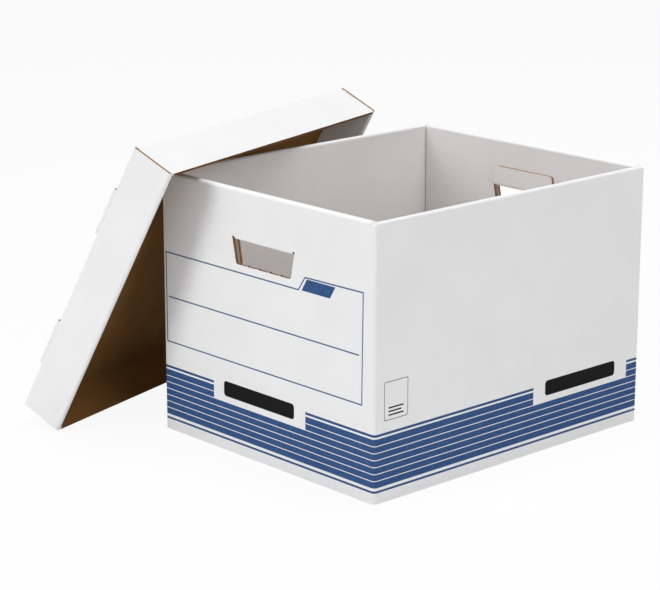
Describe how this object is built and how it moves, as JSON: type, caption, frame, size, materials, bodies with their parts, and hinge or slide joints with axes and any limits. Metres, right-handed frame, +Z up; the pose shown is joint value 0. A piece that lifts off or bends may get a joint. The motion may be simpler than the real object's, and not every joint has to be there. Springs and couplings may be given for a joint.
{
  "type": "archive storage box",
  "caption": "Open corrugated archive box with rolled rims, hand holes, a ruled label panel and a blue striped foot band; its lift-off lid leans against one side.",
  "frame": {"origin": "centre of the underside of the box, on the surface it stands on", "axes": "+Z up; +Y from the front handle wall to the rear one; +X to the right seen from the front, away from the leaning lid"},
  "size_m": [0.57, 0.5169, 0.3322],
  "materials": {
    "printed_board": "white clay-coated liner outside and on the rolled-over walls, printed with blue stripes round the foot; brown fluted edges",
    "plain_board": "plain white liner outside, brown kraft liner inside the panel and the long walls"
  },
  "bodies": {
    "box": {"box_body": "printed_board"},
    "lid": {"lid": "plain_board"}
  },
  "joints": [
    {"name": "lid_lift", "type": "slide", "parent": "box", "child": "lid", "axis": [0, 0, 1], "range_m": [0, 0.31]}
  ]
}
